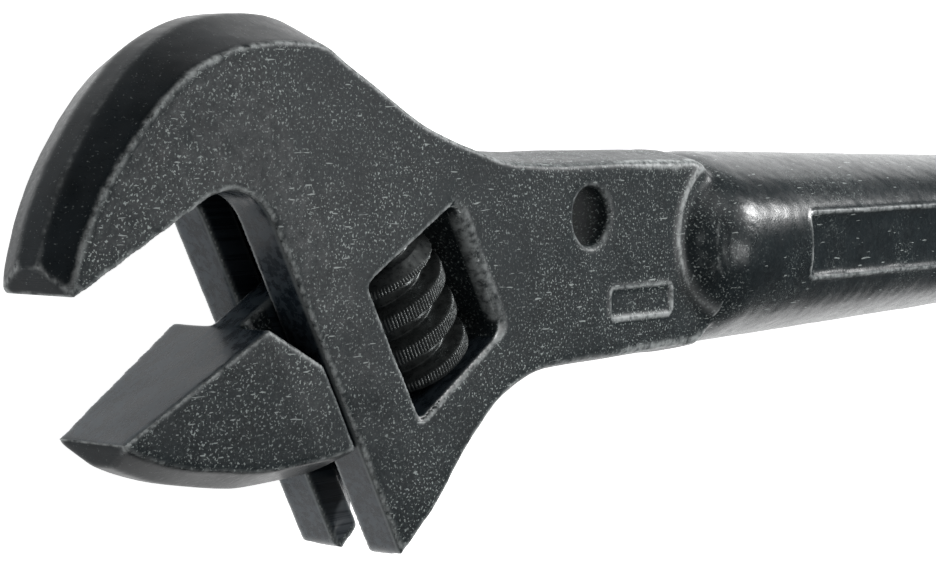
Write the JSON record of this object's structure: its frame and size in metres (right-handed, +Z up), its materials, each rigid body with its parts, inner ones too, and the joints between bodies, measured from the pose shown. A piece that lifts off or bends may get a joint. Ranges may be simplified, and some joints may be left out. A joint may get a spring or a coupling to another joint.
{
  "type": "adjustable wrench",
  "caption": "Adjustable construction wrench: forged head with a sliding lower jaw driven by a thumb worm, flat neck with a tether hole and a long round tapered handle.",
  "frame": {"origin": "middle of the bottom of the wrench's bounding box as it lies on one broad side, under the round handle", "axes": "+X runs along the handle's axis from the jaws to the handle's end, +Y points from the movable jaw's side towards the back of the fixed jaw, +Z is up, out of the broad face"},
  "size_m": [0.4058, 0.0762, 0.0322],
  "materials": {
    "black_forging": "satin black oxide over a forged, lightly blasted alloy steel surface",
    "black_machined": "satin black oxide over machined and knurled steel",
    "dark_steel": "dull dark bare steel"
  },
  "bodies": {
    "frame": {"body": "black_forging", "worm_pin": "dark_steel", "worm_spring": "dark_steel"},
    "jaw": {"movable_jaw": "black_forging"},
    "screw": {"worm": "black_machined"}
  },
  "joints": [
    {"name": "jaw_slide", "type": "slide", "parent": "frame", "child": "jaw", "axis": [0.4848, -0.8746, 0], "range_m": [-0.0201, 0.0206]},
    {"name": "worm_turn", "type": "hinge", "parent": "frame", "child": "screw", "pos_m": [-0.13417, -0.00353, 0.0161], "axis": [0.4848, -0.8746, 0], "range_deg": [-1375, 1345]}
  ],
  "couplings": [
    {"joint": "worm_turn", "follows": "jaw_slide", "rad_per_m": -1152.9}
  ]
}
